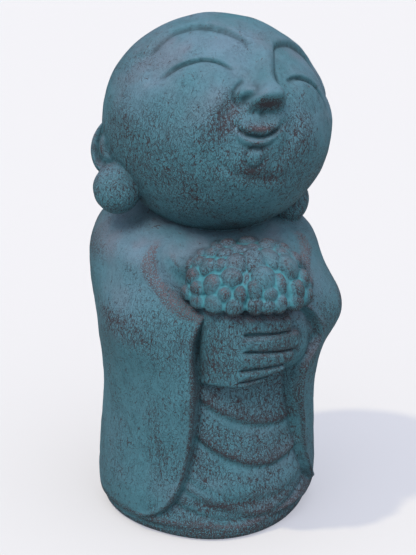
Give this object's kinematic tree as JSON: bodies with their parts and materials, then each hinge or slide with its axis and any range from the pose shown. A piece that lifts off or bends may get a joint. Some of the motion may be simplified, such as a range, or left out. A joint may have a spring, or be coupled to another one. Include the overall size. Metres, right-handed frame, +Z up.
{
  "type": "jizo statue",
  "caption": "Cast stone jizo statue: big round bald head tilted up with a closed-eyed smile, long-lobed ears, draped robe and sleeves, a bunch of fruit in the joined hands.",
  "frame": {"origin": "centre of the flat underside", "axes": "+Z up from the underside to the top of the head, the robe's front faces -Y, +X towards the figure's own left hand"},
  "size_m": [0.1964, 0.215, 0.3966],
  "materials": {
    "patinated_stone": "matt blue-green verdigris over cast stone, rubbed through to dark red-brown on raised edges, with fine dark cracks and specks"
  },
  "bodies": {
    "root": {"jizo_statue": "patinated_stone"}
  },
  "joints": []
}
